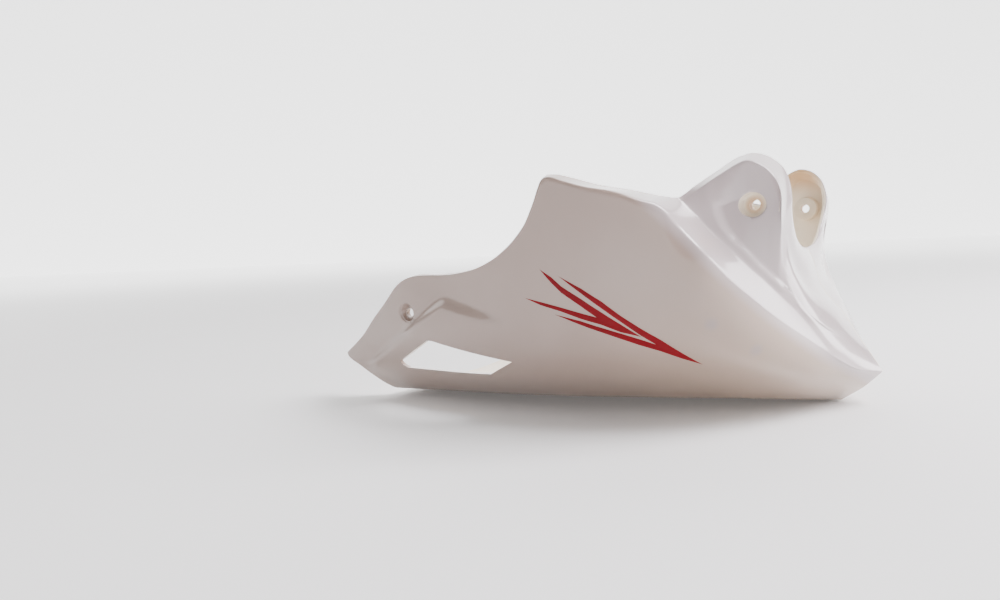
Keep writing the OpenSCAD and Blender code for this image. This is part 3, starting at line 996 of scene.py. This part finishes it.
@dataclass
class Slashes:
    """The painted slashes on a side panel, laid on the finished half. All lengths are in millimetres."""

    surface: PanSurface = field(default_factory=PanSurface)
    proud: float = 0.12
    thickness: float = 0.18
    spacing: float = 3.0
    merge: float = 0.01
    start_y: float = 300.0

    def fill(self, outline: Outline) -> tuple[list[Flat], list[tuple[int, ...]]]:
        """Triangles that fill an outline, small enough to follow the skin.

        Args:
            outline: Corners as (x, z), in millimetres from the rear tip.

        Returns:
            Points as (x, z), and the corners of each triangle.
        """
        corners = np.array(outline, float)
        edge = []
        for start, end in zip(corners, np.roll(corners, -1, axis=0)):
            steps = max(1, math.ceil(float(np.linalg.norm(end - start)) / self.spacing))
            edge += [mix(start, end, k / steps) for k in range(steps)]
        low, high = corners.min(axis=0), corners.max(axis=0)
        inside = [
            (x, z)
            for x in np.arange(low[0], high[0], self.spacing)
            for z in np.arange(low[1], high[1], self.spacing)
        ]
        points = [Vector(p) for p in [*edge, *inside]]
        rim = [(k, (k + 1) % len(edge)) for k in range(len(edge))]
        filled = delaunay_2d_cdt(points, rim, [], ONLY_INSIDE, self.merge)
        return [(v.x, v.y) for v in filled[0]], [tuple(face) for face in filled[2]]

    def build(self, half: bpy.types.Object, name: str, side: Side) -> bpy.types.Object:
        """Lay both slashes on one half.

        Args:
            half: The finished half shell.
            name: Name of the new object.
            side: Which half it is.

        Returns:
            The new object.
        """
        skin = BVHTree.FromObject(half, bpy.context.evaluated_depsgraph_get())
        parts = []
        for outline in (OUTER_SLASH, INNER_SLASH):
            flat, faces = self.fill(outline)
            points = []
            for x, z in flat:
                start = Vector(self.surface.to_frame(np.array([x, side.value * self.start_y, z])))
                hit, normal, _, _ = skin.ray_cast(start, Vector((0, -side.value, 0)))
                points.append((hit + normal * self.proud * MM) / MM)
            turned_out = faces if side is Side.RIGHT else [face[::-1] for face in faces]
            parts.append(mesh_object(name, np.array(points) * MM, turned_out))
        slashes = join(parts)
        solid = slashes.modifiers.new("body", "SOLIDIFY")
        solid.thickness = self.thickness * MM
        solid.offset = -1
        apply_modifiers(slashes)
        return slashes


@dataclass
class Nodes:
    """Short hand for a material's nodes and links."""

    material: bpy.types.Material

    def __post_init__(self) -> None:
        """Start from an empty tree with a shader and an output."""
        self.material.use_nodes = True
        self.tree = self.material.node_tree
        self.tree.nodes.clear()
        self.output = self.tree.nodes.new("ShaderNodeOutputMaterial")
        self.shader = self.tree.nodes.new("ShaderNodeBsdfPrincipled")
        self.tree.links.new(self.shader.outputs[0], self.output.inputs[0])
        self.place = self.tree.nodes.new("ShaderNodeTexCoord").outputs["Object"]

    def link(self, source: bpy.types.NodeSocket, target: bpy.types.NodeSocket) -> None:
        """Join two sockets."""
        self.tree.links.new(source, target)

    def set(self, **values: float | tuple[float, ...]) -> None:
        """Set sockets of the shader, with spaces written as underscores."""
        for name, value in values.items():
            self.shader.inputs[name.replace("_", " ")].default_value = value

    def noise(self, scale: float) -> bpy.types.NodeSocket:
        """Noise on the object's own coordinates.

        Args:
            scale: How fine it is, in waves to a metre.

        Returns:
            The noise, from 0 to 1.
        """
        node = self.tree.nodes.new("ShaderNodeTexNoise")
        node.inputs["Scale"].default_value = scale
        node.inputs["Detail"].default_value = NOISE_DETAIL
        self.link(self.place, node.inputs["Vector"])
        return node.outputs["Fac"]

    def blend(self, share: bpy.types.NodeSocket, a: bpy.types.NodeSocket | Colour,
              b: bpy.types.NodeSocket | Colour) -> bpy.types.NodeSocket:
        """Mix two colours.

        Args:
            share: How much of the second colour there is.
            a: The first colour.
            b: The second colour.

        Returns:
            The mixed colour.
        """
        node = self.tree.nodes.new("ShaderNodeMix")
        node.data_type = "RGBA"
        self.link(share, node.inputs["Factor"])
        for value, socket in ((a, node.inputs["A"]), (b, node.inputs["B"])):
            if isinstance(value, bpy.types.NodeSocket):
                self.link(value, socket)
            else:
                socket.default_value = (*value, 1)
        return node.outputs["Result"]

    def between(self, value: bpy.types.NodeSocket, span: Span,
                to: Span = (0.0, 1.0)) -> bpy.types.NodeSocket:
        """Carry a value smoothly from one span over to another, held at its ends.

        Args:
            value: The value.
            span: The span that it comes from.
            to: The span that it goes to.

        Returns:
            The new value.
        """
        node = self.tree.nodes.new("ShaderNodeMapRange")
        node.interpolation_type = "SMOOTHSTEP"
        for name, number in zip(("From Min", "From Max", "To Min", "To Max"), (*span, *to)):
            node.inputs[name].default_value = number
        self.link(value, node.inputs["Value"])
        return node.outputs["Result"]

    def measure(self, how: Measure, other: Spot) -> bpy.types.NodeSocket:
        """Measure each point of the object.

        Args:
            how: What is measured.
            other: The direction or point that it is measured against.

        Returns:
            The measure, in metres.
        """
        node = self.tree.nodes.new("ShaderNodeVectorMath")
        node.operation = how.value
        self.link(self.place, node.inputs[0])
        node.inputs[1].default_value = other
        return node.outputs["Value"]

    def along_axis(self, direction: Spot) -> bpy.types.NodeSocket:
        """Distance along a direction, from the origin."""
        return self.measure(Measure.ALONG, direction)

    def distance(self, point: Spot) -> bpy.types.NodeSocket:
        """Distance from a point."""
        return self.measure(Measure.APART, point)

    def patches(self, scale: float, a: Colour, b: Colour) -> bpy.types.NodeSocket:
        """Two shades in soft patches."""
        return self.blend(self.between(self.noise(scale), (0.35, 0.65)), a, b)

    def rough(self, scale: float, low_high: Span) -> None:
        """Let the roughness vary softly between two values."""
        self.link(self.between(self.noise(scale), (0.3, 0.7), low_high), self.shader.inputs["Roughness"])

    def bump(self, height: bpy.types.NodeSocket, strength: float, depth: float) -> None:
        """Raise the surface by a height.

        Args:
            height: The height, from 0 to 1.
            strength: How much it shows.
            depth: The full height, in metres.
        """
        node = self.tree.nodes.new("ShaderNodeBump")
        node.inputs["Strength"].default_value = strength
        node.inputs["Distance"].default_value = depth
        self.link(height, node.inputs["Height"])
        self.link(node.outputs[0], self.shader.inputs["Normal"])


@dataclass(frozen=True)
class PearlPaint:
    """White paint under a clear coat, warmer low in front (painted reflected light), paler at the nose and
    the upper front (painted highlight), with two rubbed marks.
    """

    white: Colour = (0.37, 0.275, 0.235)
    shade: Colour = (0.355, 0.26, 0.22)
    patch_scale: float = 14
    # Painted reflected light from below: the paint turns warmer low in front
    painted_warm_light: Colour = (0.39, 0.28, 0.21)
    warm_light_way: Spot = (1.0, 0, -1.1)
    warm_light_span: Span = (-0.06, 0.11)
    # Painted highlight: the paint turns paler at the nose and the upper front
    pale: Colour = (0.49, 0.41, 0.415)
    painted_highlight_way: Spot = (1.0, 0, 0.8)
    painted_highlight_span: Span = (0.186, 0.195)
    mark: Colour = (0.25, 0.23, 0.26)
    mark_span: Span = (0.001, 0.006)
    mark_shares: Span = (0.35, 0.0)
    marks: tuple[Spot, ...] = ((0.1287, -0.1046, 0.0509), (0.1088, -0.1267, 0.0686))

    def make(self) -> bpy.types.Material:
        """Make the material.

        Returns:
            The new material.
        """
        n = Nodes(bpy.data.materials.new("pearl_paint"))
        colour = n.patches(self.patch_scale, self.white, self.shade)
        # Painted reflected light from below: warmer low in front
        colour = n.blend(n.between(n.along_axis(self.warm_light_way), self.warm_light_span), colour, self.painted_warm_light)
        # Painted highlight: paler at the nose and the upper front
        colour = n.blend(n.between(n.along_axis(self.painted_highlight_way), self.painted_highlight_span), colour, self.pale)
        for place in self.marks:
            worn = n.between(n.distance(place), self.mark_span, self.mark_shares)
            colour = n.blend(worn, colour, self.mark)
        n.link(colour, n.shader.inputs["Base Color"])
        n.rough(*PAINT_ROUGH)
        n.set(Coat_Weight=1.0, Coat_Roughness=0.1, Coat_IOR=1.6)
        return n.material


@dataclass(frozen=True)
class IvoryPlastic:
    """Bare moulded plastic inside, with painted orange shade near the top of the ears and in the front
    bolt holes.
    """

    ivory: Colour = (0.88, 0.77, 0.62)
    cream: Colour = (0.92, 0.83, 0.70)
    patch_scale: float = 22
    # Painted orange shade near the top of the ears, also used in the front bolt holes
    amber_shade: Colour = (0.72, 0.47, 0.25)
    ear_top_shade_z: Span = (0.148, 0.169)
    # Painted orange shade in the front bolt holes, fading out from these points
    shaded_bores: tuple[Spot, ...] = ((0.1257, 0.0885, 0.137), (0.1257, -0.0885, 0.137))
    bore_shade_span: Span = (0.0045, 0.0075)
    bore_shade_shares: Span = (0.85, 0.0)
    grain_scale: float = 1500
    grain_strength: float = 0.08
    grain_depth: float = 0.0002

    def make(self) -> bpy.types.Material:
        """Make the material.

        Returns:
            The new material.
        """
        n = Nodes(bpy.data.materials.new("ivory_plastic"))
        colour = n.patches(self.patch_scale, self.ivory, self.cream)
        # Painted orange shade near the top of the ears
        colour = n.blend(n.between(n.along_axis((0, 0, 1.0)), self.ear_top_shade_z), colour, self.amber_shade)
        # Painted orange shade in the front bolt holes
        for bore in self.shaded_bores:
            near = n.between(n.distance(bore), self.bore_shade_span, self.bore_shade_shares)
            colour = n.blend(near, colour, self.amber_shade)
        n.link(colour, n.shader.inputs["Base Color"])
        n.rough(120, (0.4, 0.52))
        n.bump(n.noise(self.grain_scale), self.grain_strength, self.grain_depth)
        return n.material


@dataclass(frozen=True)
class SlashPaint:
    """Dark red paint of the slashes."""

    red: Colour = (0.20, 0.0, 0.006)
    deep: Colour = (0.17, 0.0, 0.004)
    patch_scale: float = 40

    def make(self) -> bpy.types.Material:
        """Make the material.

        Returns:
            The new material.
        """
        n = Nodes(bpy.data.materials.new("slash_paint"))
        n.link(n.patches(self.patch_scale, self.red, self.deep), n.shader.inputs["Base Color"])
        n.rough(*PAINT_ROUGH)
        n.set(Coat_Weight=0.1, Coat_Roughness=0.1, Specular_IOR_Level=0.1)
        return n.material


@dataclass(frozen=True)
class ZincSteel:
    """Zinc plated steel of the screws and nuts."""

    bright: Colour = (0.62, 0.63, 0.65)
    dull: Colour = (0.5, 0.51, 0.52)
    patch_scale: float = 300

    def make(self) -> bpy.types.Material:
        """Make the material.

        Returns:
            The new material.
        """
        n = Nodes(bpy.data.materials.new("zinc_steel"))
        n.link(n.patches(self.patch_scale, self.bright, self.dull), n.shader.inputs["Base Color"])
        n.rough(700, (0.28, 0.42))
        n.set(Metallic=1.0)
        return n.material


@dataclass(frozen=True)
class Lamp:
    """A square soft light, with its place and aim in metres and its power in watts."""

    name: str
    place: Spot
    aim: Spot
    size: float
    power: float
    colour: Colour

    def build(self) -> None:
        """Set the light up."""
        data = bpy.data.lights.new(self.name, "AREA")
        data.size = self.size
        data.energy = self.power
        data.color = self.colour
        obj = bpy.data.objects.new(self.name, data)
        bpy.context.scene.collection.objects.link(obj)
        obj.location = self.place
        obj.rotation_euler = (Vector(self.aim) - Vector(self.place)).to_track_quat("-Z", "Y").to_euler()


@dataclass(frozen=True)
class Sheet:
    """A plain pale sheet of the studio, turned by degrees, with its glow near and far from its middle."""

    name: str
    place: Spot
    turn: Spot
    colour: Colour
    glow: Span
    size: float = 14.0
    roughness: float = 0.9
    glow_span: Span = (0.5, 3.5)

    def build(self) -> None:
        """Lay the sheet out."""
        bpy.ops.object.select_all(action="DESELECT")
        turn = tuple(math.radians(angle) for angle in self.turn)
        bpy.ops.mesh.primitive_plane_add(size=self.size, location=self.place, rotation=turn)
        obj = bpy.context.active_object
        obj.name = self.name
        n = Nodes(bpy.data.materials.new(self.name))
        n.set(Base_Color=(*self.colour, 1), Roughness=self.roughness, Emission_Color=(1, 1, 1, 1))
        glow = n.between(n.distance((0, 0, 0)), self.glow_span, self.glow)
        n.link(glow, n.shader.inputs["Emission Strength"])
        obj.data.materials.append(n.material)


@dataclass
class Studio:
    """Camera, pale floor, lit backdrop and soft lights."""

    eye: Spot = (0.22195, -0.51999, 0.12309)
    right: Spot = (0.83665, 0.54608, -0.04263)
    up: Spot = (-0.01333, 0.0981, 0.99509)
    forward: Spot = (-0.54758, 0.83197, -0.08935)
    lens: float = 24.48
    sensor: float = 36.0
    nearest: float = 0.01
    sheets: tuple[Sheet, ...] = (
        Sheet("floor", (0, 0, 0), (0, 0, 0), (0.84, 0.84, 0.84), (0.1, 1.9)),
        Sheet("backdrop", (-2.5, 3.8, 2), (90, 0, 33), (0.9, 0.9, 0.9), (1.9, 1.9)),
    )
    lamps: tuple[Lamp, ...] = (
        Lamp("key", (1.0, 0.3, 1.35), (0, 0, 0.05), 1.0, 62, (1, 0.97, 1)),
        Lamp("rim", (1.7, 0.97, 0.55), (0.1, -0.05, 0.08), 0.95, 30, (1, 0.97, 1)),
        Lamp("front", (1.7, -0.2, 0.6), (0.1, 0, 0.08), 1.2, 5, (1, 0.975, 1)),
        Lamp("side", (-1.3, -0.55, 0.8), (0, 0, 0.08), 0.9, 6, (1, 0.95, 0.93)),
    )
    room_colour: Colour = (0.9, 0.89, 0.88)
    room_light: float = 0.4

    def camera(self) -> None:
        """Set the camera at the photograph's viewing angle."""
        data = bpy.data.cameras.new("camera")
        data.lens = self.lens
        data.sensor_width = self.sensor
        data.clip_start = self.nearest
        cam = bpy.data.objects.new("camera", data)
        bpy.context.scene.collection.objects.link(cam)
        turn = Matrix((self.right, self.up, -Vector(self.forward))).transposed()
        cam.matrix_world = Matrix.Translation(self.eye) @ turn.to_4x4()
        bpy.context.scene.camera = cam

    def room(self) -> None:
        """Fill the room with an even pale light."""
        world = bpy.data.worlds.new("room")
        world.use_nodes = True
        background = world.node_tree.nodes["Background"]
        background.inputs["Color"].default_value = (*self.room_colour, 1)
        background.inputs["Strength"].default_value = self.room_light
        bpy.context.scene.world = world

    def build(self) -> None:
        """Set up the studio."""
        self.camera()
        for thing in (*self.sheets, *self.lamps):
            thing.build()
        self.room()


def main() -> None:
    """Build every piece, dress it and hand it to the frame."""
    logging.basicConfig(level=logging.INFO, format="%(name)s: %(message)s")
    finishes = (PearlPaint(), IvoryPlastic(), SlashPaint(), ZincSteel())
    paint, bare, red, zinc = (finish.make() for finish in finishes)
    Studio().build()
    maker = HalfShell((paint, bare))
    left = maker.build("left_shell")
    right = maker.mirrored(left, "right_shell")
    for half, node, side in ((left, "left_half", Side.LEFT), (right, "right_half", Side.RIGHT)):
        smooth(half)
        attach(half, "root")
        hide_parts(node)
        slashes = Slashes().build(half, node.replace("half", "slashes"), side)
        dress(slashes, (red,))
        smooth(slashes)
        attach(slashes, "root")
        for piece in (half, slashes):
            LOG.info("%s: %d faces", piece.name, len(piece.data.polygons))
    for node in ("join_screws", "join_nuts"):
        dress(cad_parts[node], (zinc,))
        LOG.info("%s dressed", node)


if __name__ == "__main__":
    main()
